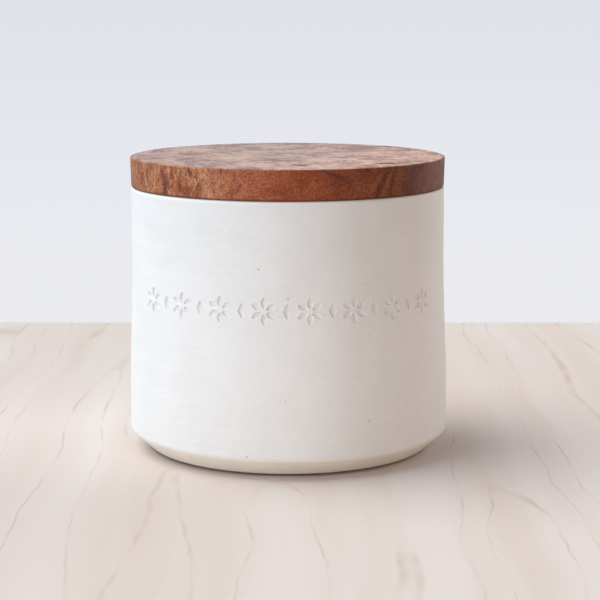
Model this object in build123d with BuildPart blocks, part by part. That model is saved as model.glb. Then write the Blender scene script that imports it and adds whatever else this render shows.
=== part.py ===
from build123d import *
from math import atan2, cos, degrees, radians, sin, tan
import os

# A round stoneware salt jar with a matte white coat outside, a glazed lining, a bare bevel over
# a foot ring that is set in, and a lift-off wooden lid. Millimetres. +Z is up, the origin is on
# the axis, on the surface that the foot stands on, and the stamped front of the jar faces -Y.

# ---- Jar: outside of the finished wall ----
rim_radius = 50.0
jar_height = 84.35
neck_length = 17.0  # straight stretch under the rim
swell = 1.3  # how much wider the wall is low down than at the rim
rim_round = 1.0  # outer edge of the rim

# ---- Jar: foot ----
low_straight = 3.4  # upright stretch between the swell and the corner over the bevel
corner_round = 1.8
bevel_height = 5.6
bevel_width = 5.7
foot_gap = 0.85  # from the lower end of the bevel down to the table
foot_round = 0.8  # edge under the bevel
foot_inset = 4.5  # from the lower end of the bevel in to the foot ring
foot_ring_width = 5.0
foot_recess = 1.5

# ---- Jar: inside ----
wall = 5.0  # at the rim, coat and lining included
floor_thickness = 7.0
floor_round = 8.0
mouth_ease = 0.25  # inner edge of the lining at the mouth

# ---- Coat and lining ----
glaze = 0.35

# ---- Stamped row on the front: rosettes with a lozenge between each two ----
stamp_depth = 0.5
row_drop = 32.7  # from the rim down to the middle line of the row
rosette_count = 8
rosette_pitch = 13.8  # along the wall
petal_count = 6
petal_length = 3.3
petal_width = 1.65
petal_start = 0.85  # from the rosette's middle to the inner tip of a petal
lozenge_height = 4.6
lozenge_width = 2.3

# ---- Lid ----
board_thickness = 9.5
lid_setback = 0.1  # the lid's lower edge stands in from the rim by this much
lid_flare = 0.25  # the lid is wider at the top by this much, measured on the radius
top_ease = 0.6
bottom_ease = 0.5
spigot_depth = 7.0
spigot_clearance = 0.8
spigot_chamfer = 0.6

# ---- Seal: a flexible band with fins, in a groove around the spigot ----
seal_height = 4.0
groove_depth = 1.4
seal_gap = 0.3  # between the tips of the fins and the mouth
fin_count = 2
fin_root = 1.2
fin_tip = 0.5

# ---- Worked out from the sizes above ----
mouth_radius = rim_radius - wall
clay_rim_radius = rim_radius - glaze
clay_belly_radius = clay_rim_radius + swell
clay_mouth_radius = mouth_radius + glaze
clay_height = jar_height - glaze
bevel_foot_radius = clay_belly_radius - bevel_width
ring_radius = bevel_foot_radius - foot_inset
bevel_angle = degrees(atan2(bevel_width, bevel_height))  # from the vertical
corner_centre_x = clay_belly_radius - corner_round
corner_centre_z = foot_gap + bevel_height + corner_round * tan(radians(bevel_angle / 2))
glaze_line = corner_centre_z - (corner_round + glaze) * sin(radians(bevel_angle / 2))
swell_top = jar_height - neck_length
swell_bottom = corner_centre_z + low_straight
row_height = jar_height - row_drop
lid_lower_radius = rim_radius - lid_setback
lid_upper_radius = lid_lower_radius + lid_flare
lid_top = jar_height + board_thickness
spigot_radius = mouth_radius - spigot_clearance
spigot_bottom = jar_height - spigot_depth
groove_radius = spigot_radius - groove_depth
seal_middle = jar_height - spigot_depth / 2
fin_reach = mouth_radius - seal_gap - spigot_radius


def outer_side(skin, corner_turn):
    """Draw the jar's outer side from the top of the neck to the corner over the bevel.

    It lies `skin` outside the clay, and turns `corner_turn` degrees round the corner.
    Gives its lower end.
    """
    neck_x = clay_rim_radius + skin
    belly_x = clay_belly_radius + skin
    middle = ((neck_x + belly_x) / 2, (swell_top + swell_bottom) / 2)
    Line((neck_x, clay_height + skin), (neck_x, swell_top))
    upper = TangentArc((neck_x, swell_top), middle, tangent=(0, -1))
    TangentArc(middle, (belly_x, swell_bottom), tangent=upper % 1)
    Line((belly_x, swell_bottom), (belly_x, corner_centre_z))
    corner = CenterArc((corner_centre_x, corner_centre_z), corner_round + skin, 0, -corner_turn)
    return corner @ 1


def wall_radius(height):
    """Radius of the finished wall in the upper half of the swell and in the neck."""
    below = max(0.0, swell_top - height)
    half_height = (swell_top - swell_bottom) / 2
    half_swell = swell / 2
    bend = (half_height**2 + half_swell**2) / (2 * half_swell)
    return rim_radius + bend - (bend**2 - below**2) ** 0.5


def jar_outline(skin, corner_turn, closing, bevel_foot_round=0):
    """Solid of revolution inside the outer side, closed below by the points in `closing`.

    The edge under the bevel is rounded where `bevel_foot_round` is given.
    """
    top = clay_height + skin
    with BuildPart() as solid:
        with BuildSketch(Plane.XZ) as section:
            with BuildLine():
                side_end = outer_side(skin, corner_turn)
                Polyline(side_end, *closing, (0, top), (clay_rim_radius + skin, top))
            make_face()
            rim_corner = section.vertices().group_by(Axis.Y)[-1].sort_by(Axis.X)[-1]
            fillet(rim_corner, rim_round - glaze + skin)
            if bevel_foot_round:
                bevel_foot = section.vertices().group_by(Axis.Y)[1].sort_by(Axis.X)[-1]
                fillet(bevel_foot, bevel_foot_round)
        revolve(axis=Axis.Z)
    return solid.part


def jar_inside(skin, top):
    """The space inside the jar up to `top`, its walls `skin` inside the clay's."""
    with BuildPart() as solid:
        with BuildSketch(Plane.XZ) as section:
            radius = clay_mouth_radius - skin
            with BuildLine():
                Polyline(
                    (0, floor_thickness + skin),
                    (radius, floor_thickness + skin),
                    (radius, top),
                    (0, top),
                    close=True,
                )
            make_face()
            floor_corner = section.vertices().group_by(Axis.Y)[0].sort_by(Axis.X)[-1]
            fillet(floor_corner, floor_round + glaze - skin)
        revolve(axis=Axis.Z)
    return solid.part


def stamped_row(grow, below_surface):
    """Cutters for the row: motifs grown by `grow` all round, floors `below_surface` deep.

    The floors are flat, like the face of a hand stamp, so each plane stands square to the
    wall at the middle of its motif.
    """
    radius = wall_radius(row_height)
    half_pitch = degrees(rosette_pitch / 2 / radius)
    reach = 2 * stamp_depth + swell
    with BuildPart() as cutters:
        for place in range(2 * rosette_count - 1):
            turn = radians((place - (rosette_count - 1)) * half_pitch)
            outward = Vector(sin(turn), -cos(turn), 0)
            middle = outward * (radius - below_surface) + Vector(0, 0, row_height)
            with BuildSketch(Plane(middle, x_dir=(cos(turn), sin(turn), 0), z_dir=outward)):
                if place % 2 == 0:
                    with PolarLocations(petal_start + petal_length / 2, petal_count, start_angle=90):
                        add(petal_shape(grow))
                else:
                    with BuildLine():
                        lozenge_x = lozenge_width / 2 + grow
                        lozenge_y = lozenge_height / 2 + grow * lozenge_height / lozenge_width
                        Polyline(
                            (lozenge_x, 0), (0, lozenge_y), (-lozenge_x, 0), (0, -lozenge_y), close=True
                        )
                    make_face()
            extrude(amount=reach)
    return cutters.part


def petal_shape(grow):
    """One pointed petal, lying along X about its own middle, with tips and sides grown by `grow`."""
    tip = petal_length / 2 + grow
    side = petal_width / 2 + grow
    with BuildSketch(mode=Mode.PRIVATE) as petal:
        with BuildLine():
            ThreePointArc((-tip, 0), (0, side), (tip, 0))
            ThreePointArc((-tip, 0), (0, -side), (tip, 0))
        make_face()
    return petal.sketch


# ---- The clay's hollow, which the body is cut with and the lining fills ----
clay_inside = jar_inside(0, clay_height)

# ---- Clay body: cup with a bevel over a set-in foot ring, a recess under it and the stamped row ----
with BuildPart() as stamped_clay:
    underside = [(bevel_foot_radius, foot_gap), (ring_radius, foot_gap), (ring_radius, 0), (0, 0)]
    add(jar_outline(0, bevel_angle, underside, foot_round))
    add(stamped_row(glaze, stamp_depth + glaze), mode=Mode.SUBTRACT)

with BuildPart() as stoneware_body:
    add(stamped_clay.part)
    add(clay_inside, mode=Mode.SUBTRACT)
    with BuildSketch(Plane.XY):
        Circle(ring_radius - foot_ring_width)
    extrude(amount=foot_recess, mode=Mode.SUBTRACT)

# ---- Outer coat: over the wall, the top of the rim and half of the corner above the bevel ----
with BuildPart() as outer_glaze:
    add(jar_outline(glaze, bevel_angle / 2, [(0, glaze_line)]))
    add(stamped_clay.part, mode=Mode.SUBTRACT)
    with BuildSketch(Plane.XY.offset(clay_height)):
        Circle(clay_mouth_radius)
    extrude(amount=glaze, both=True, mode=Mode.SUBTRACT)
    add(stamped_row(0, stamp_depth), mode=Mode.SUBTRACT)

# ---- Lining: glaze over the floor and the inside of the wall, flush with the rim ----
with BuildPart() as liner_glaze:
    with BuildSketch(Plane.XY.offset(clay_height)):
        Circle(clay_mouth_radius)
    extrude(amount=glaze)
    add(clay_inside)
    add(jar_inside(glaze, jar_height), mode=Mode.SUBTRACT)
    mouth_edge = liner_glaze.edges().group_by(Axis.Z)[-1].sort_by(SortBy.RADIUS)[0]
    fillet(mouth_edge, mouth_ease)

# ---- Lid: one turned board with a spigot that drops into the mouth ----
with BuildPart() as lid_board:
    with BuildSketch(Plane.XZ) as lid_section:
        with BuildLine():
            Polyline(
                (0, jar_height),
                (lid_lower_radius, jar_height),
                (lid_upper_radius, lid_top),
                (0, lid_top),
                close=True,
            )
        make_face()
        fillet(lid_section.vertices().group_by(Axis.Y)[0].sort_by(Axis.X)[-1], bottom_ease)
        fillet(lid_section.vertices().group_by(Axis.Y)[-1].sort_by(Axis.X)[-1], top_ease)
    revolve(axis=Axis.Z)
    with BuildSketch(Plane.XY.offset(spigot_bottom)):
        Circle(spigot_radius)
    extrude(amount=spigot_depth)
    chamfer(lid_board.edges().group_by(Axis.Z)[0], spigot_chamfer)
    with BuildSketch(Plane.XY.offset(seal_middle - seal_height / 2)):
        Circle(spigot_radius)
        Circle(groove_radius, mode=Mode.SUBTRACT)
    extrude(amount=seal_height, mode=Mode.SUBTRACT)

# ---- Seal ring: fills the groove, with fins that stand out towards the mouth ----
with BuildPart() as seal_ring:
    with BuildSketch(Plane.XZ):
        with Locations((groove_radius + groove_depth / 2, seal_middle)):
            Rectangle(groove_depth, seal_height)
        for fin in range(fin_count):
            fin_middle = seal_middle + ((fin + 0.5) / fin_count - 0.5) * seal_height
            with BuildLine():
                Polyline(
                    (spigot_radius, fin_middle - fin_root / 2),
                    (spigot_radius + fin_reach, fin_middle - fin_tip / 2),
                    (spigot_radius + fin_reach, fin_middle + fin_tip / 2),
                    (spigot_radius, fin_middle + fin_root / 2),
                    close=True,
                )
            make_face()
    revolve(axis=Axis.Z)

stoneware_body.part.label = "stoneware_body"
outer_glaze.part.label = "outer_glaze"
liner_glaze.part.label = "liner_glaze"
lid_board.part.label = "lid_board"
seal_ring.part.label = "seal_ring"

os.makedirs("parts", exist_ok=True)
export_step(stoneware_body.part, "parts/stoneware_body.step")
export_step(outer_glaze.part, "parts/outer_glaze.step")
export_step(liner_glaze.part, "parts/liner_glaze.step")
export_step(lid_board.part, "parts/lid_board.step")
export_step(seal_ring.part, "parts/seal_ring.step")
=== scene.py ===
from math import atan2, cos, degrees, pi, radians, sin, sqrt, tan

import bpy
import numpy as np
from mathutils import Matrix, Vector
from mathutils.geometry import delaunay_2d_cdt


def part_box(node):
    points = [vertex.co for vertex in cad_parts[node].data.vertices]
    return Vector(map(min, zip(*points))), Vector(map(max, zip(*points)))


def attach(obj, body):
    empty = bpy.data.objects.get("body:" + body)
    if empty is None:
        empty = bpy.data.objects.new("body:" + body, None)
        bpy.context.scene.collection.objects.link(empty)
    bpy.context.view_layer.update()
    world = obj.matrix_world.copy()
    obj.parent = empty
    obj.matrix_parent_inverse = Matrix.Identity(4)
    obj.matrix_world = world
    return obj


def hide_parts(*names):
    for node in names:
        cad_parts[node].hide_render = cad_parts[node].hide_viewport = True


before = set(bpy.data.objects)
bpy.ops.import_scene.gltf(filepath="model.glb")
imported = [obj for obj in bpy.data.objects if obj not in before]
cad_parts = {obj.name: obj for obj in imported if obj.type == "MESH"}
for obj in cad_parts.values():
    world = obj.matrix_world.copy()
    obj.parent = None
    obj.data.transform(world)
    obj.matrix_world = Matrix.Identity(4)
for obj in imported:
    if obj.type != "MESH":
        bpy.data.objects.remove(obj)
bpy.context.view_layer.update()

# A stoneware salt jar with a matte white coat, a bare bevel over a set-in foot ring, and a
# lift-off wooden lid.
# Sizes and places are in millimetres, and MM turns them into metres. Angles around the jar are
# in degrees from its front, which faces -Y, and grow towards +X.
MM = 0.001


def high(node):
    """Highest corner of a CAD node's box, in millimetres."""
    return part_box(node)[1] / MM


def low(node):
    """Lowest corner of a CAD node's box, in millimetres."""
    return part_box(node)[0] / MM


# ---- Sizes read from the frame ----
jar_height = high("outer_glaze").z
belly_radius = high("outer_glaze").x
clay_height = high("stoneware_body").z
clay_belly_radius = high("stoneware_body").x
clay_mouth_radius = high("liner_glaze").x
clay_floor = low("liner_glaze").z
lid_top = high("lid_board").z
lid_upper_radius = high("lid_board").x
spigot_bottom = low("lid_board").z
seal_low = low("seal_ring").z
seal_high = high("seal_ring").z
seal_reach = high("seal_ring").x
glaze = jar_height - clay_height  # thickness of coat and lining

# ---- Sizes that the frame's boxes don't give, as in the CAD ----
rim_radius = 50.0
neck_length = 17.0
low_straight = 3.4
rim_round = 1.0
mouth_ease = 0.25
corner_round = 1.8
bevel_height = 5.6
bevel_width = 5.7
foot_gap = 0.85
foot_round = 0.8
foot_inset = 4.5
foot_ring_width = 5.0
foot_recess = 1.5
floor_round = 8.0
lid_lower_radius = 49.9
bottom_ease = 0.5
spigot_radius = 44.2
spigot_chamfer = 0.6
groove_radius = 42.8
fin_count = 2
fin_root = 1.2
fin_tip = 0.5

# ---- Stamped row, as in the CAD ----
row_height = jar_height - 32.7
stamp_depth = 0.5
rosette_count = 8
rosette_pitch = 13.8
petal_count = 6
petal_length = 3.3
petal_width = 1.65
petal_start = 0.85
lozenge_height = 4.6
lozenge_width = 2.3

# ---- Marks of the hand and the tool, which only the finished surface has ----
stamp_slope = 0.12  # width of a stamped edge, from the wall down to the floor
lip_height = 0.04  # clay pushed up around a stamp
lip_near = 0.14  # the lip is highest this far from a stamp's edge
lip_far = 0.55  # and it ends this far from it
lean = 0.35  # the foot stands this far towards +X under the rim
out_of_round = 0.06
ring_ease = 0.3  # edges of the foot ring, worn round
shoulder_width = 1.5  # the lid's upper edge is sanded off in a flat curve this wide
shoulder_drop = 0.4
check_depth = 0.09  # depth of the splits in the lid's top
check_slope = 1.8  # a split's sides slope out to this many times its width
check_bend = 0.25  # how far a split bends to either side
lining_ridges = 1.6  # size of the lining's throwing ridges against the wall's
tool_line = 0.02  # size of the trimming lines on the bevel
coat_edge = 0.08  # thickness of the coat where it ends
coat_fade = 2.0  # length over which it thins out

# ---- Worked out from the sizes above ----
coat_mouth_radius = clay_mouth_radius - glaze
bevel_angle = degrees(atan2(bevel_width, bevel_height))
corner_x = clay_belly_radius - corner_round
corner_z = foot_gap + bevel_height + corner_round * tan(radians(bevel_angle / 2))
bevel_foot_radius = clay_belly_radius - bevel_width
ring_radius = bevel_foot_radius - foot_inset
swell_top = jar_height - neck_length
swell_bottom = corner_z + low_straight
coat_corner = corner_round + glaze
coat_turn = 0.4 * bevel_angle
floor_height = clay_floor + glaze

# ---- Mesh density ----
ROUND = 240  # columns around the axis
FINE_ROW = 0.5
COARSE_ROW = 1.1
CENTRE = 0.8  # the innermost ring's radius. A point on the axis closes it
UNDER_CENTRE = 1.0  # the same under the clay
PATCH_COLUMNS = (78, 162)  # the columns at -63 and +63 degrees, either side of the stamped row
PATCH_REACH = 5.5  # half of the stamped patch's height
PATCH_CLEAR = 0.15  # the grid keeps this far from the stamps' outermost lines
OUTSIDE = -9.0  # an inset for places that are far from any stamp
SHARP = 50  # edges that turn by more degrees than this aren't smoothed
WALL_SEED = 7
LINING_SEED = 11


# ---- Outlines: arrays of (radius, height) that run with the solid on their left ----
def line(start, end, step):
    """Points from start to end, about `step` apart."""
    start, end = np.array(start, float), np.array(end, float)
    pieces = max(1, round(float(np.linalg.norm(end - start)) / step))
    along = np.linspace(0, 1, pieces + 1)[:, None]
    return start * (1 - along) + end * along


def arc(centre, radius, start, end, pieces=6):
    """Points on an arc, with start and end in degrees from the +radius direction."""
    turn = np.radians(np.linspace(start, end, pieces + 1))
    return np.column_stack([centre[0] + radius * np.cos(turn), centre[1] + radius * np.sin(turn)])


def outline(*stretches):
    """The stretches end to end, without the points that two of them share."""
    points = np.concatenate(stretches)
    apart = np.linalg.norm(np.diff(points, axis=0), axis=1) > 1e-4
    return points[np.concatenate([[True], apart])]


def wall_radius(height):
    """Radius of the finished wall: a straight neck, a long S and a low straight."""
    swell = belly_radius - rim_radius
    half_height = (swell_top - swell_bottom) / 2
    bend = (half_height**2 + (swell / 2) ** 2) / swell
    from_top = np.clip(swell_top - height, 0, half_height)
    from_bottom = np.clip(height - swell_bottom, 0, half_height)
    upper = rim_radius + bend - np.sqrt(bend**2 - from_top**2)
    lower = belly_radius - bend + np.sqrt(bend**2 - from_bottom**2)
    return np.where(height > (swell_top + swell_bottom) / 2, upper, lower)


# ---- Stamps: the motifs, and how deep the front is pressed in ----
petal_bend = (petal_length**2 + petal_width**2) / (4 * petal_width)  # radius of a petal's sides
petal_offset = petal_bend - petal_width / 2
lozenge_slant = lozenge_width * lozenge_height / 2 / sqrt(lozenge_width**2 + lozenge_height**2)


def petal_frames():
    """Direction of each of a rosette's petals, as (cosine, sine)."""
    turns = [radians(90 + 360 * petal / petal_count) for petal in range(petal_count)]
    return [(cos(turn), sin(turn)) for turn in turns]


def rosette_inset(x, y):
    """Distance inside the nearest petal of a rosette."""
    inset = np.full(x.shape, OUTSIDE)
    for c, s in petal_frames():
        along = x * c + y * s - petal_start - petal_length / 2
        across = y * c - x * s
        from_left = np.hypot(along, across + petal_offset)
        from_right = np.hypot(along, across - petal_offset)
        inset = np.maximum(inset, petal_bend - np.maximum(from_left, from_right))
    return inset


def rosette_outlines(inset, pieces=12):
    """Closed outlines that lie `inset` inside the petals of a rosette."""
    radius = petal_bend - inset
    tip = sqrt(radius**2 - petal_offset**2)
    start = atan2(petal_offset, tip)
    turn = np.linspace(start, pi - start, pieces + 1)
    side = np.column_stack([radius * np.cos(turn), radius * np.sin(turn) - petal_offset])
    petal = np.vstack([side, -side[1:-1]])
    petal[:, 0] += petal_start + petal_length / 2
    return [petal @ np.array([[c, s], [-s, c]]) for c, s in petal_frames()]


def lozenge_inset(x, y):
    """Distance inside an upright lozenge."""
    return (1 - np.abs(x) / (lozenge_width / 2) - np.abs(y) / (lozenge_height / 2)) * lozenge_slant


def lozenge_outlines(inset, pieces=4):
    """The closed outline that lies `inset` inside a lozenge."""
    size = (1 - inset / lozenge_slant) / 2
    x, y = size * lozenge_width, size * lozenge_height
    corners = [(x, 0), (0, y), (-x, 0), (0, -y), (x, 0)]
    sides = [line(a, b, np.hypot(x, y) / pieces)[:-1] for a, b in zip(corners, corners[1:])]
    return [np.vstack(sides)]


def smooth(value, start, end):
    """0 up to start, 1 from end on, and an even curve between."""
    share = np.clip((value - start) / (end - start), 0, 1)
    return share * share * (3 - 2 * share)


row_radius = float(wall_radius(row_height))
half_pitch = degrees(rosette_pitch / 2 / row_radius)
along_row = radians(1) * row_radius  # millimetres for each degree along the row


def motifs():
    """Turn in degrees, inset function and outline function of each stamp in the row."""
    for place_number in range(2 * rosette_count - 1):
        middle = (place_number - (rosette_count - 1)) * half_pitch
        if place_number % 2 == 0:
            yield middle, rosette_inset, rosette_outlines
        else:
            yield middle, lozenge_inset, lozenge_outlines


def stamp_inset(turns, heights):
    """Distance inside the nearest stamp, and the turn away from that stamp's middle in degrees."""
    inset = np.full(turns.shape, OUTSIDE)
    away = np.zeros(turns.shape)
    for middle, inset_of, _ in motifs():
        near = np.abs(turns - middle) < half_pitch
        offset = turns[near] - middle
        found = inset_of(row_radius * np.tan(np.radians(offset)), heights[near] - row_height)
        better = found > inset[near]
        inset[near] = np.where(better, found, inset[near])
        away[near] = np.where(better, offset, away[near])
    return inset, away


def pressed(turns, heights, grow=0.0):
    """How far the stamped row takes the wall in, at these turns in degrees and these heights.

    Each stamp's floor is flat, so it is shallower at its sides, where the wall curves away.
    """
    inset, away = stamp_inset(turns, heights)
    flat = row_radius - (row_radius - stamp_depth) / np.cos(np.radians(away))
    depth = flat * np.clip((inset + grow) / stamp_slope, 0, 1)
    if grow == 0:
        depth -= np.interp(inset, (-lip_far, -lip_near, 0.0), (0.0, lip_height, 0.0))
    return depth


# ---- Rings of points around the axis, and the closed meshes through them ----
def even_turns(count=ROUND):
    """Columns at equal angles."""
    return np.linspace(-180, 180, count, endpoint=False)


def ring(turns, radius, height):
    """One ring of points in millimetres."""
    angle = np.radians(turns)
    radius = np.broadcast_to(radius, angle.shape)
    height = np.broadcast_to(height, angle.shape)
    return np.column_stack([radius * np.sin(angle), -radius * np.cos(angle), height])


def turned(profile, count=ROUND):
    """Plain rings through the points of an outline."""
    return [ring(even_turns(count), radius, height) for radius, height in profile]


def by_hand(points):
    """The same points, leaning and out of round as the thrown jar is."""
    points = points.copy()
    share = 1 - points[:, 2] / jar_height
    turn = np.arctan2(points[:, 0], -points[:, 1])
    points[:, :2] *= (1 + out_of_round / rim_radius * np.cos(2 * turn - 1.2) * share)[:, None]
    points[:, 0] += lean * share
    return points


def strip_between(first, second):
    """Faces between two rings of vertex numbers. The second may have twice as many."""
    one, two = len(first), len(second)
    faces = []
    for i in range(one):
        here, following = first[i], first[(i + 1) % one]
        if one == two:
            faces.append((here, following, second[(i + 1) % two], second[i]))
        else:
            middle = second[2 * i + 1]
            faces.append((here, middle, second[2 * i]))
            faces.append((here, following, middle))
            faces.append((following, second[(2 * i + 2) % two], middle))
    return faces


def stamped_faces(heights, numbers, levels, surface, count):
    """New points and faces for the stamped patch.

    `numbers` are the vertex numbers of the rings at these heights. The patch is triangulated in
    the unrolled wall, with an edge along every stamp's outline at each of the inset `levels`.
    """
    first, last = PATCH_COLUMNS
    turns = even_turns()[first : last + 1]
    flat, known = [], []
    for row, height in enumerate(heights):
        on_edge = (turns == turns[0]) | (turns == turns[-1]) | (row in (0, len(heights) - 1))
        inset, _ = stamp_inset(turns, np.full(turns.shape, height))
        for column in np.nonzero(on_edge | (inset < min(levels) - PATCH_CLEAR))[0]:
            flat.append((turns[column] * along_row, height))
            known.append(numbers[row][first + column])
    edges = []
    for middle, _, outlines_at in motifs():
        for level in levels:
            for points in outlines_at(level):
                start = len(flat)
                turn = middle + np.degrees(np.arctan(points[:, 0] / row_radius))
                flat += list(zip(turn * along_row, points[:, 1] + row_height))
                edges += [(start + k, start + (k + 1) % len(points)) for k in range(len(points))]
    found = delaunay_2d_cdt([Vector(point) for point in flat], edges, [], 0, 1e-5)
    final, fresh = [], []
    for point, sources in zip(found[0], found[3]):
        old = [known[source] for source in sources if source < len(known)]
        final.append(old[0] if old else count + len(fresh))
        if not old:
            fresh.append((point.x / along_row, point.y))
    fresh = np.array(fresh)
    faces = [tuple(final[corner] for corner in face) for face in found[2]]
    return surface(fresh[:, 0], fresh[:, 1]), faces


def add_object(name, data):
    """A new object in the scene."""
    added = bpy.data.objects.new(name, data)
    bpy.context.scene.collection.objects.link(added)
    return added


def closed_mesh(name, rings, loop=False, patches=(), shape=None):
    """A closed mesh through the rings.

    With loop the last ring joins the first, and otherwise the first and last rings are closed by
    a point on the axis. Each patch is a stretch of rings whose front is stamped: its first ring,
    its heights, levels and surface. Rings that run down have falling heights.
    """
    points = np.concatenate(rings)
    starts = np.cumsum([0] + [len(part) for part in rings])
    numbers = [list(range(start, end)) for start, end in zip(starts, starts[1:])]
    faces = []
    for i in range(len(rings) - (0 if loop else 1)):
        strip = strip_between(numbers[i], numbers[(i + 1) % len(rings)])
        if any(first <= i < first + len(heights) - 1 for first, heights, _, _ in patches):
            strip = strip[: PATCH_COLUMNS[0]] + strip[PATCH_COLUMNS[1] :]
        faces += strip
    for first, heights, levels, surface in patches:
        rows = numbers[first : first + len(heights)]
        fresh, found = stamped_faces(heights, rows, levels, surface, len(points))
        faces += found if heights[0] < heights[-1] else [face[::-1] for face in found]
        points = np.vstack([points, fresh])
    if not loop:
        middles = [rings[0].mean(axis=0), rings[-1].mean(axis=0)]
        start, end, count = numbers[0], numbers[-1], len(points)
        points = np.vstack([points, middles])
        faces += [(count, start[(i + 1) % len(start)], start[i]) for i in range(len(start))]
        faces += [(count + 1, end[i], end[(i + 1) % len(end)]) for i in range(len(end))]
    used = sorted({corner for face in faces for corner in face})
    renumbered = {old: new for new, old in enumerate(used)}
    faces = [[renumbered[corner] for corner in face] for face in faces]
    points = points[used]
    if shape:
        points = shape(points)
    mesh = bpy.data.meshes.new(name)
    mesh.from_pydata((points * MM).tolist(), [], faces)
    mesh.shade_smooth()
    mesh.set_sharp_from_angle(angle=radians(SHARP))
    return add_object(name, mesh)


def place(piece, body, nodes, slot, material):
    """Give a piece its material and its body, and hide the CAD nodes that it stands for."""
    piece.data.materials.append(material)
    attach(piece, body)
    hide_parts(*nodes)


# ---- The jar: clay, coat and lining ----
THROWING = (
    # spacing and size of the ridges
    (9.3, 0.024),
    (4.1, 0.010),
    (2.3, 0.006),
)


def throwing(height, turns, seed):
    """Low ridges left by the potter's fingers, which wander a little around the jar."""
    random = np.random.default_rng(seed)
    wander = np.zeros(np.shape(turns))
    for lobes in (1, 2, 3):
        reach = random.uniform(0.1, 0.35)
        wander += reach * np.cos(np.radians(lobes * turns) + random.uniform(0, 6))
    ridges = np.zeros(np.shape(turns))
    for length, size in THROWING:
        ridges += size * np.sin(2 * pi * (height + wander) / length + random.uniform(0, 6))
    return ridges


def coat_thickness(height):
    """The coat thins out towards its lower end."""
    end = corner_z - coat_corner * sin(radians(coat_turn))
    return coat_edge + (glaze - coat_edge) * smooth(height, end, end + coat_fade)


def thrown_radius(turns, heights):
    """Radius of the wall with its ridges, which fade out at the low corner and at the rim."""
    over_corner = smooth(heights, corner_z - 1, corner_z + 3)
    at_rim = smooth(heights, jar_height - 3, jar_height - rim_round)
    return wall_radius(heights) + over_corner * (1 - at_rim) * throwing(heights, turns, WALL_SEED)


def outer_skin(turns, heights):
    """Points on the finished wall."""
    return ring(turns, thrown_radius(turns, heights) - pressed(turns, heights), heights)


def under_skin(turns, heights):
    """Points on the face that clay and coat share."""
    radius = thrown_radius(turns, heights)
    radius -= coat_thickness(heights) + pressed(turns, heights, glaze)
    return ring(turns, radius, heights)


def wall_heights(step):
    """Heights of the wall's rings, from the low straight to the rim's rounding: below the
    stamped patch, in it and above it."""
    patch = (row_height - PATCH_REACH, row_height + PATCH_REACH)
    ends = (corner_z, *patch, jar_height - rim_round)
    below, band, above = [line((0, a), (0, b), step)[:, 1] for a, b in zip(ends, ends[1:])]
    return below[:-1], band, above[1:]


def wall(surface, step, levels, ring_number, down=False):
    """Rings up the whole wall, or down it, and the stamped patch for the mesh."""
    below, band, above = wall_heights(step)
    heights = np.concatenate([below, band, above])
    skipped = len(below)
    if down:
        heights, band, skipped = heights[::-1], band[::-1], len(above)
    turns = even_turns()
    rings = [surface(turns, np.full(turns.shape, height)) for height in heights]
    return rings, (ring_number + skipped, band, levels, surface)


def under_corner():
    """Rings on the shared face round the corner above the bevel, from the coat's end up."""
    rings = []
    for turn in np.radians(np.linspace(coat_turn, 0, 7)[:-1]):
        radius = coat_corner - coat_thickness(corner_z - coat_corner * sin(turn))
        rings += turned([(corner_x + radius * cos(turn), corner_z - radius * sin(turn))])
    return rings


RIM_CENTRE = (rim_radius - rim_round, jar_height - rim_round)


def under_rim():
    """Rings on the shared face over the rim, from the neck to the mouth."""
    top = arc(RIM_CENTRE, rim_round - glaze, 0, 90)
    return turned(top[1:]) + turned([(clay_mouth_radius, clay_height)])


# Insets of the lines that the mesh has along every stamp
OUTER_LEVELS = (-lip_far, -lip_near, 0.0, stamp_slope)
UNDER_LEVELS = (-glaze, stamp_slope - glaze)


def make_coat():
    """The white coat: out from its thin lower end, up the wall, over the rim and back inside."""
    rings = turned(arc((corner_x, corner_z), coat_corner, -coat_turn, 0, 6)[:-1])
    outside, outer_patch = wall(outer_skin, FINE_ROW, OUTER_LEVELS, len(rings))
    rings += outside
    rim = outline(
        arc(RIM_CENTRE, rim_round, 0, 90, 8),
        line((rim_radius - rim_round, jar_height), (clay_mouth_radius, jar_height), 0.6),
    )
    rings += turned(rim[1:])
    rings += under_rim()[::-1]
    inside, under_patch = wall(under_skin, COARSE_ROW, UNDER_LEVELS, len(rings), down=True)
    rings += inside
    rings += under_corner()[::-1]
    patches = (outer_patch, under_patch)
    return closed_mesh("outer_glaze_coat", rings, loop=True, patches=patches, shape=by_hand)


def clay_inside():
    """Outline down the inside of the clay, from the mouth to the middle of the floor."""
    radius = clay_mouth_radius
    rounding = floor_round + glaze
    return outline(
        line((radius, clay_height), (radius, clay_floor + rounding), 1.6),
        arc((radius - rounding, clay_floor + rounding), rounding, 0, -90, 12),
        line((radius - rounding, clay_floor), (CENTRE, clay_floor), 1.6),
    )


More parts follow.
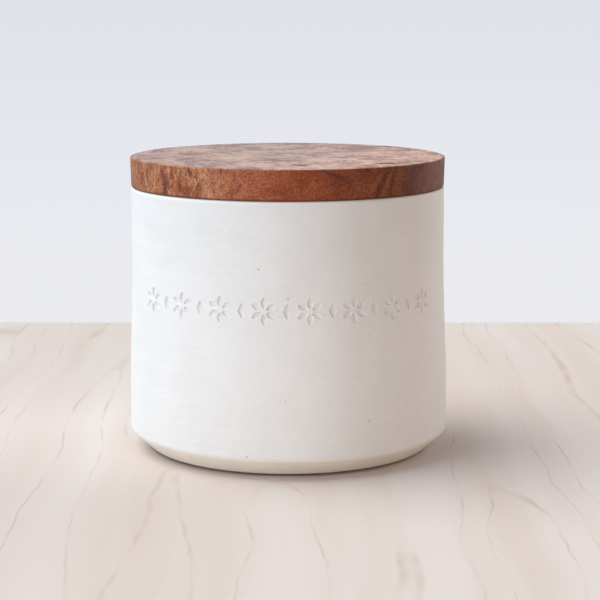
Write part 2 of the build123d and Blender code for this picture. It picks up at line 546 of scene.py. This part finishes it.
def make_clay():
    """The clay body: recess, foot ring, bare bevel, the face under the coat, and the inside."""
    ring_inside = ring_radius - foot_ring_width
    trimmed = corner_round + glaze - coat_edge
    bevel_top = (
        corner_x + trimmed * cos(radians(bevel_angle)),
        corner_z - trimmed * sin(radians(bevel_angle)),
    )
    underside_end = bevel_foot_radius - foot_round * tan(radians((90 - bevel_angle) / 2))
    foot = outline(
        line((UNDER_CENTRE, foot_recess), (ring_inside - ring_ease, foot_recess), 1.4),
        arc((ring_inside - ring_ease, foot_recess - ring_ease), ring_ease, 90, 0, 4),
        arc((ring_inside + ring_ease, ring_ease), ring_ease, 180, 270, 4),
        arc((ring_radius - ring_ease, ring_ease), ring_ease, 270, 360, 4),
        line((ring_radius, foot_gap), (underside_end, foot_gap), 0.8),
        arc((underside_end, foot_gap + foot_round), foot_round, 270, 360 - bevel_angle, 8),
    )
    bevel = outline(
        line(foot[-1], bevel_top, 0.4),
        arc((corner_x, corner_z), trimmed, -bevel_angle, -coat_turn, 4),
    )
    rings = turned(foot) + tooled(bevel[1:-1]) + under_corner()
    upward, patch = wall(under_skin, COARSE_ROW, UNDER_LEVELS, len(rings))
    rings += upward + under_rim() + turned(clay_inside()[1:])
    return closed_mesh("stoneware_body_clay", rings, patches=(patch,), shape=by_hand)


def tooled(profile):
    """Rings of the bevel, with the fine lines of the trimming tool."""
    rings = []
    turns = even_turns()
    for number, (radius, height) in enumerate(profile):
        mark = tool_line * np.sin(number * 2.3 + np.radians(turns)) * smooth(height, 0.5, 1.5)
        rings.append(ring(turns, radius + mark, height))
    return rings


def make_lining():
    """The glaze inside: out under the floor, up the clay, over the mouth's edge and back down."""
    radius = coat_mouth_radius
    inside = outline(
        arc((radius + mouth_ease, jar_height - mouth_ease), mouth_ease, 90, 180, 4),
        line((radius, jar_height - mouth_ease), (radius, floor_height + floor_round), 0.7),
        arc((radius - floor_round, floor_height + floor_round), floor_round, 0, -90, 16),
        line((radius - floor_round, floor_height), (CENTRE, floor_height), 0.9),
    )
    rings = turned(clay_inside()[::-1])
    rings += turned([(clay_mouth_radius, jar_height)])
    turns = even_turns()
    for x, z in inside:
        fade = smooth(jar_height - z, 3, 8) * smooth(x, 4, 12)
        along = z if z > floor_height + 1 else x
        ridges = lining_ridges * fade * throwing(along, turns, LINING_SEED)
        if z > floor_height + floor_round / 2:
            rings.append(ring(turns, x - ridges, z))
        else:
            rings.append(ring(turns, x, z + abs(ridges)))
    return closed_mesh("liner_glaze_lining", rings, shape=by_hand)


# ---- The lid: board and seal ----
TOP_CHECKS = (
    # x, y, half length along the grain, half width: short natural splits in the top
    (4.0, -35.2, 3.8, 1.05),
    (30.4, -30.9, 4.6, 0.95),
    (17.2, -19.5, 2.2, 0.34),
    (33.5, 32.5, 2.6, 0.40),
)


def checked_top(rings):
    """The same rings, with the splits sunk into the top."""
    sunk = []
    for points in rings:
        points = points.copy()
        for x, y, length, width in TOP_CHECKS:
            along = (points[:, 0] - x) / length
            bend = check_bend * np.sin(along * 2)
            away = np.hypot(along, (points[:, 1] - y + bend) / (width * check_slope))
            points[:, 2] -= check_depth * (1 - smooth(away, 0.2, 1.0))
        sunk.append(points)
    return sunk


def make_board():
    """The turned board: spigot with its groove, underside, edge and top."""
    tilt = degrees(atan2(lid_upper_radius - lid_lower_radius, lid_top - jar_height))
    corners = (
        (CENTRE, spigot_bottom),
        (spigot_radius - spigot_chamfer, spigot_bottom),
        (spigot_radius, spigot_bottom + spigot_chamfer),
        (spigot_radius, seal_low),
        (groove_radius, seal_low),
        (groove_radius, seal_high),
        (spigot_radius, seal_high),
        (spigot_radius, jar_height),
        (lid_lower_radius - bottom_ease, jar_height),
    )
    steps = (1.5, 0.3, 0.4, 0.5, 1.0, 0.5, 0.5, 0.6)
    spigot = outline(*[line(a, b, step) for a, b, step in zip(corners, corners[1:], steps)])
    shoulder = [
        (
            lid_upper_radius - shoulder_width * (1 - cos(radians(turn))),
            lid_top - shoulder_drop * (1 - sin(radians(turn))),
        )
        for turn in np.linspace(0, 90, 13)
    ]
    ease_centre = (lid_lower_radius - bottom_ease, jar_height + bottom_ease)
    lower_edge = arc(ease_centre, bottom_ease, -90, -tilt, 6)
    side = line(lower_edge[-1], shoulder[0], 0.5)
    rings = turned(outline(spigot, lower_edge, side[1:], shoulder[1:]))
    top = line(shoulder[-1], (CENTRE, lid_top), 0.42)
    rings += checked_top(turned(top[1:], 2 * ROUND))
    return closed_mesh("lid_board_wood", rings)


def make_seal():
    """The flexible band in the groove, with rounded fins."""
    tip = fin_tip / 2
    end = seal_reach - tip
    middle = (seal_low + seal_high) / 2
    outside = [line((groove_radius, seal_low), (spigot_radius, seal_low), 0.5)]
    for fin in range(fin_count):
        height = middle + ((fin + 0.5) / fin_count - 0.5) * (seal_high - seal_low)
        outside.append(line((spigot_radius, height - fin_root / 2), (end, height - tip), 0.15))
        outside.append(arc((end, height), tip, -90, 90, 8))
        outside.append(line((end, height + tip), (spigot_radius, height + fin_root / 2), 0.15))
    outside.append(line((spigot_radius, seal_high), (groove_radius, seal_high), 0.5))
    return closed_mesh("seal_ring_band", turned(outline(*outside)), loop=True)


# ---- Materials ----
X_AXIS, Y_AXIS, Z_AXIS = (1.0, 0.0, 0.0), (0.0, 1.0, 0.0), (0.0, 0.0, 1.0)
WHITE = (1.0, 1.0, 1.0)


class Nodes:
    """A node tree, with short helpers."""

    def __init__(self, tree):
        self.tree = tree

    def add(self, kind):
        return self.tree.nodes.new("ShaderNode" + kind)

    def put(self, socket, value):
        """Link a socket to an output, or set it to a plain value."""
        if isinstance(value, bpy.types.NodeSocket):
            self.tree.links.new(value, socket)
        else:
            socket.default_value = value

    def calculation(self, kind, operation, values):
        node = self.add(kind)
        node.operation = operation
        for socket, value in zip(node.inputs, values):
            self.put(socket, value)
        return node

    def vector(self, operation, *values):
        to_number = operation in ("LENGTH", "DISTANCE", "DOT_PRODUCT")
        node = self.calculation("VectorMath", operation, values)
        return node.outputs["Value" if to_number else "Vector"]

    def scaled(self, vector, scale):
        return self.vector("MULTIPLY", vector, scale)

    def along(self, vector, axis):
        return self.vector("DOT_PRODUCT", vector, axis)

    def math(self, operation, *values, clamp=False):
        node = self.calculation("Math", operation, values)
        node.use_clamp = clamp
        return node.outputs[0]

    def times(self, first, second):
        return self.math("MULTIPLY", first, second)

    def noise(self, vector, size, detail=2.0, roughness=0.5, colour=False):
        """Noise with features about `size` millimetres across."""
        node = self.add("TexNoise")
        self.put(node.inputs["Vector"], vector)
        node.inputs["Scale"].default_value = 1 / size
        node.inputs["Detail"].default_value = detail
        node.inputs["Roughness"].default_value = roughness
        return node.outputs["Color" if colour else "Fac"]

    def warped(self, vector, size, amount):
        """The vector, pushed about by up to `amount` in patches of `size`."""
        push = self.vector("SUBTRACT", self.noise(vector, size, 1.0, colour=True), (0.5, 0.5, 0.5))
        return self.vector("ADD", vector, self.scaled(push, (amount, amount, amount)))

    def leaning(self, vector, turn, slant):
        """The vector, leant by `slant` degrees to the right in the wall's face at this turn."""
        node = self.add("VectorRotate")
        self.put(node.inputs["Vector"], vector)
        node.inputs["Axis"].default_value = (sin(radians(turn)), -cos(radians(turn)), 0.0)
        node.inputs["Angle"].default_value = radians(slant)
        return node.outputs["Vector"]

    def ridges(self, vector, size, width):
        """1 on thin wandering lines, where noise of `size` passes its middle value."""
        middle = self.math("ABSOLUTE", self.math("SUBTRACT", self.noise(vector, size, 1.0), 0.5))
        return self.between(middle, width, width * 0.25)

    def ramp(self, value, *stops):
        """A colour ramp with stops of (position, colour)."""
        node = self.add("ValToRGB")
        self.put(node.inputs[0], value)
        elements = node.color_ramp.elements
        while len(elements) < len(stops):
            elements.new(1.0)
        for element, (position, colour) in zip(elements, stops):
            element.position = position
            element.color = (*colour, 1.0)
        return node.outputs["Color"]

    def between(self, value, start, end):
        """0 where value is at start, 1 where it is at end, smooth between."""
        node = self.add("MapRange")
        node.interpolation_type = "SMOOTHSTEP"
        self.put(node.inputs["Value"], value)
        node.inputs["From Min"].default_value = start
        node.inputs["From Max"].default_value = end
        return node.outputs["Result"]

    def mix(self, share, first, second, blend="MIX"):
        node = self.add("Mix")
        node.data_type = "RGBA"
        node.blend_type = blend
        self.put(node.inputs[0], share)
        for socket, value in ((node.inputs[6], first), (node.inputs[7], second)):
            self.put(socket, value if isinstance(value, bpy.types.NodeSocket) else (*value, 1.0))
        return node.outputs[2]

    def tinted(self, colour, tint, share=1.0):
        """The colour multiplied by the tint."""
        return self.mix(share, colour, tint, "MULTIPLY")


class Shader(Nodes):
    """A material's nodes. Positions are in millimetres."""

    def __init__(self, name):
        self.material = bpy.data.materials.new(name)
        self.material.use_nodes = True
        super().__init__(self.material.node_tree)
        self.surface = self.tree.nodes["Principled BSDF"]
        coordinates = self.add("TexCoord").outputs["Object"]
        self.place = self.scaled(coordinates, (1 / MM, 1 / MM, 1 / MM))

    def bump(self, height, depth):
        """Relief of `depth` millimetres, on top of any relief added before."""
        node = self.add("Bump")
        node.inputs["Distance"].default_value = depth * MM
        self.put(node.inputs["Height"], height)
        normal = self.surface.inputs["Normal"]
        if normal.is_linked:
            self.put(node.inputs["Normal"], normal.links[0].from_socket)
        self.put(normal, node.outputs["Normal"])

    def specks(self, colour, places, tint):
        """Small dark specks, each given by its turn, height, radius and strength."""
        for turn, height, size, strength in places:
            radius = float(wall_radius(height))
            angle = radians(turn)
            spot = (radius * sin(angle), -radius * cos(angle), height)
            away = self.vector("DISTANCE", self.warped(self.place, 0.5, 0.25), spot)
            inside = self.times(self.between(away, size * 1.25, size * 0.5), strength)
            colour = self.mix(inside, colour, tint)
        return colour

    def scattered(self, size, share):
        """1 inside small round spots, in `share` of the cells of a grid of `size` millimetres."""
        cells = self.add("TexVoronoi")
        self.put(cells.inputs["Vector"], self.place)
        cells.inputs["Scale"].default_value = 1 / size
        parts = self.add("SeparateColor")
        self.put(parts.inputs[0], cells.outputs["Color"])
        chosen = self.math("LESS_THAN", parts.outputs[0], share)
        return self.times(self.between(cells.outputs["Distance"], 0.09, 0.05), chosen)

    def finish(self, colour, roughness):
        self.put(self.surface.inputs["Base Color"], colour)
        self.put(self.surface.inputs["Roughness"], roughness)
        return self.material


IRON_SPECKS = (
    # turn, height, radius, strength
    (-9.6, 64.2, 0.27, 0.60),
    (0.5, 55.6, 0.25, 0.65),
    (27.8, 59.1, 0.25, 0.55),
    (-13.6, 7.4, 0.30, 0.75),
    (42.2, 24.3, 0.30, 0.55),
    (29.0, 17.4, 0.45, 0.30),
    (-0.5, 24.8, 0.30, 0.22),
    (29.4, 43.4, 0.26, 0.25),
    (21.9, 64.5, 0.22, 0.25),
    (-37.2, 71.3, 0.30, 0.15),
)


def coat_material():
    """Matte white coat: fine level lines, faint clouding and a few specks of iron."""
    shader = Shader("matte_white_glaze")
    level = shader.scaled(shader.place, (0.16, 0.16, 1.0))
    lines = shader.noise(level, 0.6, 4.0, 0.65)
    cloud = shader.noise(shader.place, 16.0, 3.0)
    white = shader.ramp(cloud, (0.3, (0.80, 0.795, 0.785)), (0.7, (0.84, 0.835, 0.825)))
    shade = shader.ramp(lines, (0.3, (0.972, 0.970, 0.966)), (0.65, WHITE))
    colour = shader.tinted(white, shade)
    dust = shader.noise(shader.place, 0.5, 3.0, 0.65)
    dust = shader.ramp(dust, (0.32, (0.955, 0.95, 0.945)), (0.58, WHITE))
    colour = shader.tinted(colour, dust)
    dots = shader.times(shader.scattered(9.0, 0.04), 0.3)
    colour = shader.mix(dots, colour, (0.22, 0.18, 0.15))
    colour = shader.specks(colour, IRON_SPECKS, (0.16, 0.14, 0.13))
    shader.bump(lines, 0.05)
    shader.bump(shader.noise(shader.place, 0.35, 3.0, 0.6), 0.02)
    shader.bump(shader.scattered(9.3, 0.05), -0.1)
    roughness = shader.math("ADD", 0.56, shader.times(cloud, 0.12))
    shader.surface.inputs["Specular IOR Level"].default_value = 0.35
    return shader.finish(colour, roughness)


def clay_material():
    """Bare buff stoneware: sandy, with trimming lines, dark grains, and painted shade in the gap
    under the bevel.
    """
    shader = Shader("bare_stoneware")
    sand = shader.noise(shader.place, 0.28, 3.0, 0.7)
    level = shader.scaled(shader.place, (0.08, 0.08, 1.0))
    lines = shader.noise(level, 0.5, 3.0, 0.6)
    cloud = shader.noise(shader.place, 9.0, 2.0)
    buff = shader.ramp(cloud, (0.3, (0.86, 0.805, 0.715)), (0.7, (0.90, 0.85, 0.765)))
    # Painted shade: the foot ring's outer wall and the underside above it are tinted dark brown,
    # where the gap under the bevel lies in shadow.
    height = shader.along(shader.place, Z_AXIS)
    under = shader.between(height, foot_gap + 0.15, foot_gap - 0.1)
    painted_gap_shade = shader.times(under, shader.between(height, 0.05, 0.3))
    buff = shader.mix(painted_gap_shade, buff, (0.50, 0.33, 0.23))
    grain = shader.ramp(sand, (0.3, (0.94, 0.93, 0.92)), (0.65, WHITE))
    colour = shader.tinted(buff, grain)
    dots = shader.times(shader.scattered(2.4, 0.06), 0.4)
    colour = shader.mix(dots, colour, (0.3, 0.22, 0.16))
    shader.bump(lines, 0.05)
    shader.bump(sand, 0.05)
    shader.surface.inputs["Specular IOR Level"].default_value = 0.25
    return shader.finish(colour, 0.85)


def lining_material():
    """The lining: the same white, smoother and with a satin gloss."""
    shader = Shader("liner_glaze")
    cloud = shader.noise(shader.place, 11.0, 3.0)
    white = shader.ramp(cloud, (0.3, (0.79, 0.78, 0.76)), (0.7, (0.84, 0.83, 0.81)))
    dots = shader.times(shader.scattered(6.0, 0.06), 0.5)
    colour = shader.mix(dots, white, (0.25, 0.2, 0.16))
    shader.bump(shader.noise(shader.place, 1.6, 2.0), 0.03)
    roughness = shader.math("ADD", 0.24, shader.times(cloud, 0.12))
    return shader.finish(colour, roughness)


SIDE_TONES = (
    # place along X, and the tint there on the lid's edge: the wood's own tone, with painted shade
    # that darkens it towards the right, on the side away from the light
    (-45, (0.305, 0.100, 0.046)),
    (-28, (0.330, 0.112, 0.048)),
    (-12, (0.335, 0.100, 0.042)),
    (2, (0.290, 0.070, 0.025)),
    (15, (0.245, 0.060, 0.025)),
    (26, (0.200, 0.055, 0.026)),
    (36, (0.160, 0.050, 0.028)),
    (46, (0.180, 0.060, 0.034)),
)
TOP_TONES = (
    # place along Y, and the wood's tint there on the lid's top
    (-46, (0.38, 0.185, 0.105)),
    (-10, (0.34, 0.150, 0.080)),
    (40, (0.28, 0.115, 0.058)),
)

SLATE = (0.115, 0.042, 0.038)
PLUM = (0.170, 0.046, 0.034)
DEEP_RED = (0.235, 0.054, 0.026)
RUST = (0.36, 0.085, 0.024)
UMBER = (0.26, 0.090, 0.026)
GOLDEN = (0.38, 0.150, 0.058)
TAN = (0.42, 0.195, 0.100)
PEACH = (0.54, 0.270, 0.165)
WALNUT = (0.115, 0.040, 0.030)
ORANGE = (0.28, 0.090, 0.030)

WOOD_MARKS = (
    # turn, height over the rim, half width, half height, slant to the right, strength, tint
    (-55.5, 8.4, 1.4, 1.4, 0, 0.75, UMBER),
    (-51.4, 4.6, 0.9, 2.0, 14, 0.8, RUST),
    (-50.0, 2.0, 1.8, 1.6, 0, 0.6, GOLDEN),
    (-50.0, 8.8, 1.4, 0.9, 0, 0.6, GOLDEN),
    (-48.8, 6.6, 1.1, 1.9, -20, 0.85, PLUM),
    (-46.9, 3.0, 1.1, 3.0, -8, 0.9, SLATE),
    (-45.2, 3.4, 0.8, 1.6, -20, 0.7, PLUM),
    (-36.2, 2.3, 1.8, 2.4, 10, 0.75, DEEP_RED),
    (-35.0, 7.3, 0.6, 1.9, -30, 0.9, PLUM),
    (-31.9, 2.6, 1.5, 2.8, 26, 0.75, DEEP_RED),
    (-28.3, 3.6, 2.2, 3.4, 10, 0.5, TAN),
    (-20.1, 6.6, 1.5, 1.9, 0, 0.6, GOLDEN),
    (-19.6, 2.0, 1.15, 1.15, 0, 0.9, DEEP_RED),
    (-19.7, 2.0, 0.5, 0.5, 0, 0.5, TAN),
    (-16.9, 3.2, 0.40, 0.9, 30, 0.9, DEEP_RED),
    (-15.8, 4.4, 0.40, 0.7, 20, 0.9, DEEP_RED),
    (14.2, 8.4, 0.45, 3.2, -66, 0.8, WALNUT),
    (18.4, 6.8, 0.65, 2.4, -66, 0.85, WALNUT),
    (32.1, 4.0, 0.9, 4.6, 33, 0.6, ORANGE),
    (34.2, 3.8, 0.9, 4.4, 27, 0.85, WALNUT),
    (36.6, 3.9, 0.85, 4.8, 27, 0.75, ORANGE),
    (38.9, 3.8, 0.40, 4.8, 14, 0.8, WALNUT),
    (41.9, 4.0, 1.8, 5.0, 10, 0.5, ORANGE),
    (49.5, 5.0, 3.2, 6.0, 0, 0.5, WALNUT),
)
PALE_STROKES = (
    # the same, for long thin strokes that keep their line
    (-60.3, 6.6, 0.26, 2.6, 32, 0.8, PEACH),
    (-59.4, 2.6, 0.30, 3.0, -36, 0.8, PEACH),
    (-53.4, 5.0, 0.26, 4.6, 13, 0.8, PEACH),
    (-52.0, 5.2, 0.22, 3.4, 28, 0.75, PEACH),
    (-32.6, 4.3, 0.22, 2.8, 30, 0.65, PEACH),
    (-30.6, 7.0, 0.30, 0.9, -12, 0.85, PEACH),
    (-34.8, 4.8, 0.24, 1.6, 34, 0.7, PEACH),
    (-15.8, 6.0, 0.20, 1.6, -41, 0.35, PEACH),
    (60.5, 4.8, 0.35, 5.5, 2, 0.45, ORANGE),
    (63.6, 4.8, 0.30, 5.5, 0, 0.50, ORANGE),
    (67.5, 4.8, 0.60, 5.5, 0, 0.45, ORANGE),
)


def wood_material():
    """Oiled figured wood, whose edge is curly and mottled at the left and dark at the right,
    partly through painted shade.
    """
    shader = Shader("oiled_wood")
    swirled = shader.warped(shader.place, 11.0, 5.0)
    curled = shader.warped(swirled, 2.6, 1.8)
    height = shader.along(shader.place, Z_AXIS)
    on_top = shader.between(height, lid_top - 0.28, lid_top - 0.02)
    at_left = shader.between(shader.along(swirled, X_AXIS), -10.0, -27.0)

    side = tones_along(shader, swirled, X_AXIS, SIDE_TONES)
    side = mottled(shader, side, swirled, curled)
    side = curly_strands(shader, side, at_left)
    for mark in WOOD_MARKS:
        side = edge_mark(shader, side, *mark, wander=0.9)
    side = fine_flecks(shader, side)
    for mark in PALE_STROKES:
        side = edge_mark(shader, side, *mark, wander=0.25)
    # Painted shade: the lid's edge is darkened just above the rim, where the seam between lid and
    # jar lies in shadow.
    painted_seam_shade = shader.between(height, jar_height + 0.9, jar_height + 0.1)
    side = shader.mix(shader.times(painted_seam_shade, 0.75), side, (0.075, 0.026, 0.018))

    top = tones_along(shader, swirled, Y_AXIS, TOP_TONES)
    at_right = shader.between(shader.along(swirled, X_AXIS), 0.0, 36.0)
    top = shader.mix(at_right, top, shader.tinted(top, (1.30, 1.25, 1.15)))
    drawn = shader.warped(shader.place, 14.0, 5.0)
    bent = shader.warped(drawn, 2.0, 0.8)
    clouds = shader.noise(shader.scaled(drawn, (0.8, 0.6, 1.0)), 8.0, 3.0, 0.6)
    fibres = shader.noise(shader.scaled(bent, (0.36, 1.0, 1.0)), 2.6, 4.0, 0.66)
    curl = shader.noise(shader.scaled(bent, (1.0, 0.3, 1.0)), 1.8, 2.0, 0.6)
    grain = shader.math("ADD", shader.times(clouds, 0.4), shader.times(fibres, 0.36))
    grain = shader.math("ADD", grain, shader.times(curl, 0.24))
    dark, pale = (0.50, 0.40, 0.43), (1.50, 1.68, 1.64)
    top = shader.tinted(top, shader.ramp(grain, (0.42, dark), (0.5, WHITE), (0.58, pale)))
    colour = shader.mix(on_top, side, top)
    # Painted shade: the shallow splits are coloured almost black, as the shadow inside a deep
    # crack would look.
    splits = split_mask(shader)
    colour = shader.mix(splits, colour, (0.02, 0.01, 0.008))

    shader.bump(shader.noise(curled, 1.2, 3.0, 0.6), 0.04)
    shader.bump(grain, 0.03)
    shader.surface.inputs["Specular IOR Level"].default_value = 0.2
    shine = shader.times(shader.between(grain, 0.36, 0.6), 0.15)
    polish = shader.times(on_top, shader.math("ADD", 0.24, shine))
    roughness = shader.math("ADD", shader.math("SUBTRACT", 0.60, polish), splits, clamp=True)
    return shader.finish(colour, roughness)


def tones_along(shader, place, axis, tones):
    """Tints that blend from one place along the axis to the next."""
    first, last = tones[0][0], tones[-1][0]
    past_first = shader.math("SUBTRACT", shader.along(place, axis), float(first))
    share = shader.math("DIVIDE", past_first, float(last - first))
    return shader.ramp(share, *[((at - first) / (last - first), tint) for at, tint in tones])


def mottled(shader, colour, swirled, curled):
    """Lighter and darker patches, and a streaky grain inside them."""
    patches = shader.noise(swirled, 6.0, 3.0, 0.55)
    dark, pale = (0.80, 0.74, 0.72), (1.14, 1.24, 1.25)
    colour = shader.tinted(colour, shader.ramp(patches, (0.32, dark), (0.5, WHITE), (0.68, pale)))
    streaks = shader.noise(shader.scaled(curled, (0.5, 1.0, 0.7)), 1.7, 3.0, 0.6)
    dark, pale = (0.84, 0.80, 0.80), (1.12, 1.15, 1.15)
    grain = shader.ramp(streaks, (0.32, dark), (0.5, WHITE), (0.7, pale))
    return shader.tinted(colour, grain, 0.8)


def curly_strands(shader, colour, region):
    """Upright strands of pale, golden and rusty wood that bend and cross, inside the region."""
    bent = shader.warped(shader.warped(shader.place, 5.0, 3.4), 1.6, 0.9)
    upright = shader.scaled(shader.leaning(bent, -45.0, -10.0), (1.0, 1.0, 0.24))
    strands = shader.noise(upright, 1.5, 2.0, 0.6)
    tint = shader.ramp(
        strands,
        (0.32, (0.66, 0.50, 0.48)),
        (0.42, (1.02, 0.90, 0.78)),
        (0.50, WHITE),
        (0.57, (1.32, 1.62, 1.75)),
        (0.66, (1.0, 1.10, 1.12)),
    )
    colour = shader.mix(region, colour, shader.tinted(colour, tint))
    lines = shader.ridges(upright, 1.1, 0.045)
    broken = shader.between(shader.noise(shader.place, 3.4, 2.0), 0.44, 0.56)
    share = shader.times(shader.times(lines, region), broken)
    return shader.mix(shader.times(share, 0.7), colour, PEACH)


def fine_flecks(shader, colour):
    """Short worm-like flecks and pores all over the edge."""
    wandering = shader.warped(shader.place, 1.1, 0.9)
    worms = shader.ridges(wandering, 0.62, 0.07)
    lit = shader.tinted(colour, (1.5, 1.7, 1.8))
    colour = shader.mix(shader.times(worms, 0.42), colour, lit)
    pores = shader.noise(shader.warped(shader.place, 0.9, 0.5), 0.42, 1.0)
    dark, pale = (0.58, 0.50, 0.48), (1.24, 1.34, 1.4)
    dots = shader.ramp(pores, (0.36, dark), (0.5, WHITE), (0.64, pale))
    return shader.tinted(colour, dots, 0.85)


def edge_mark(shader, colour, turn, height, width, tall, slant, strength, tint, wander):
    """The colour, with a wavering upright oval of another tint on the lid's edge."""
    angle, lean_by = radians(turn), radians(slant)
    spot = (rim_radius * sin(angle), -rim_radius * cos(angle), jar_height + height)
    wandering = shader.warped(shader.warped(shader.place, 4.0, 1.6 * wander), 1.1, 1.1 * wander)
    offset = shader.vector("SUBTRACT", wandering, spot)
    around = (cos(angle) * cos(lean_by), sin(angle) * cos(lean_by), -sin(lean_by))
    upward = (cos(angle) * sin(lean_by), sin(angle) * sin(lean_by), cos(lean_by))
    outward = (sin(angle), -cos(angle), 0.0)
    squares = []
    for direction, reach in ((around, width), (upward, tall), (outward, 4.0)):
        part = shader.math("DIVIDE", shader.along(offset, direction), reach)
        squares.append(shader.times(part, part))
    total = shader.math("ADD", shader.math("ADD", squares[0], squares[1]), squares[2])
    inside = shader.times(shader.between(total, 1.7, 0.2), strength)
    return shader.mix(inside, colour, tint)


def split_mask(shader):
    """1 inside the splits that are sunk into the top."""
    ragged = shader.warped(shader.warped(shader.place, 2.4, 1.3), 0.7, 0.5)
    inside = 0.0
    for x, y, length, width in TOP_CHECKS:
        offset = shader.vector("SUBTRACT", ragged, (x, y, lid_top))
        squashed = shader.scaled(offset, (1 / length, 1 / (width * check_slope), 0.5))
        found = shader.between(shader.vector("LENGTH", squashed), 1.0, 0.55)
        inside = shader.math("MAXIMUM", inside, found)
    return inside


def seal_material():
    """Clear silicone: milky, with a soft gloss."""
    shader = Shader("clear_silicone")
    haze = shader.noise(shader.place, 1.2, 2.0)
    colour = shader.ramp(haze, (0.3, (0.74, 0.745, 0.73)), (0.7, (0.82, 0.825, 0.81)))
    shader.surface.inputs["Transmission Weight"].default_value = 0.35
    shader.surface.inputs["IOR"].default_value = 1.41
    shader.bump(haze, 0.01)
    return shader.finish(colour, 0.34)


# ---- Stage: camera, table and light ----
CAMERA_PLACE = (3.98, -575, 143.35)
CAMERA_DOWN = 9.53  # how far below the level it looks, in degrees
CAMERA_LENS = 108
TABLE_REACH = 218  # half of the table's width and depth


def make_camera():
    """A long lens in front of the jar, looking a little down on it."""
    camera = bpy.data.cameras.new("camera")
    camera.lens = CAMERA_LENS
    camera.sensor_width = 36
    camera.clip_start = 0.01
    camera.clip_end = 50
    holder = add_object("camera", camera)
    holder.location = [part * MM for part in CAMERA_PLACE]
    holder.rotation_euler = (radians(90 - CAMERA_DOWN), 0, 0)
    bpy.context.scene.camera = holder


def table_material():
    """Pale wood, with thin wandering lines of grain that run from front to back."""
    shader = Shader("table")
    wandering = shader.warped(shader.warped(shader.place, 90.0, 14.0), 12.0, 1.6)
    drawn = shader.scaled(wandering, (1.0, 0.05, 1.0))
    figure = shader.math("FRACT", shader.times(shader.noise(drawn, 42.0, 1.0), 8.0))
    away = shader.math("ABSOLUTE", shader.math("SUBTRACT", figure, 0.5))
    vein = shader.between(away, 0.065, 0.0)
    strength = shader.between(shader.noise(shader.place, 30.0, 2.0), 0.40, 0.70)
    share = shader.times(vein, shader.math("ADD", 0.08, shader.times(strength, 0.42)))
    warm, pale = (0.630, 0.548, 0.498), (0.680, 0.615, 0.588)
    clouds = shader.ramp(shader.noise(drawn, 26.0, 3.0), (0.35, warm), (0.65, pale))
    return shader.finish(shader.mix(share, clouds, (0.46, 0.335, 0.265)), 0.7)


def make_floor():
    """A pale table to stand on."""
    half = TABLE_REACH * MM
    mesh = bpy.data.meshes.new("floor")
    corners = [(-half, -half, 0), (half, -half, 0), (half, half, 0), (-half, half, 0)]
    mesh.from_pydata(corners, [], [(0, 1, 2, 3)])
    mesh.materials.append(table_material())
    floor = add_object("floor", mesh)


LAMPS = (
    # name, turn, rise and spread in degrees, and strength
    ("window", -52, 11, 60, (0.455, 0.543, 0.635)),
    ("skylight", -98, 60, 50, (0.78, 0.79, 0.77)),
    ("far_window", 125, 15, 40, (0.26, 0.24, 0.23)),
    ("room_light", 20, 15, 50, (0.30, 0.24, 0.20)),
)
ROOM = (0.05, 0.04, 0.035)
BACKDROP_LOW = (0.825, 0.83, 0.87)
BACKDROP_HIGH = (0.735, 0.76, 0.82)


def make_sun(name, turn, rise, spread, strength):
    """A soft light from far away, with strength as what a white surface facing it gives back."""
    lamp = bpy.data.lights.new(name, "SUN")
    lamp.angle = radians(spread)
    lamp.energy = pi * max(strength)
    lamp.color = [part / max(strength) for part in strength]
    add_object(name, lamp).rotation_euler = (radians(90 - rise), 0, radians(turn))


def make_room():
    """A dim room with a pale backdrop behind the jar."""
    world = bpy.data.worlds.new("room")
    bpy.context.scene.world = world
    world.use_nodes = True
    nodes = Nodes(world.node_tree)
    nodes.tree.nodes.clear()
    direction = nodes.add("SeparateXYZ")
    nodes.put(direction.inputs[0], nodes.add("TexCoord").outputs["Generated"])
    height = nodes.between(direction.outputs["Z"], -0.15, 0.01)
    backdrop = nodes.mix(height, BACKDROP_LOW, BACKDROP_HIGH)
    behind = nodes.between(direction.outputs["Y"], 0.1, 0.6)
    shown = nodes.add("Background")
    nodes.put(shown.inputs["Color"], nodes.mix(behind, ROOM, backdrop))
    nodes.put(nodes.add("OutputWorld").inputs["Surface"], shown.outputs[0])


make_camera()
make_floor()
for lamp in LAMPS:
    make_sun(*lamp)
make_room()
bpy.context.scene.view_settings.view_transform = "Standard"
place(make_clay(), "jar", ["stoneware_body"], "bare_stoneware", clay_material())
place(make_coat(), "jar", ["outer_glaze"], "matte_white_glaze", coat_material())
place(make_lining(), "jar", ["liner_glaze"], "liner_glaze", lining_material())
place(make_board(), "lid", ["lid_board"], "oiled_wood", wood_material())
place(make_seal(), "lid", ["seal_ring"], "clear_silicone", seal_material())
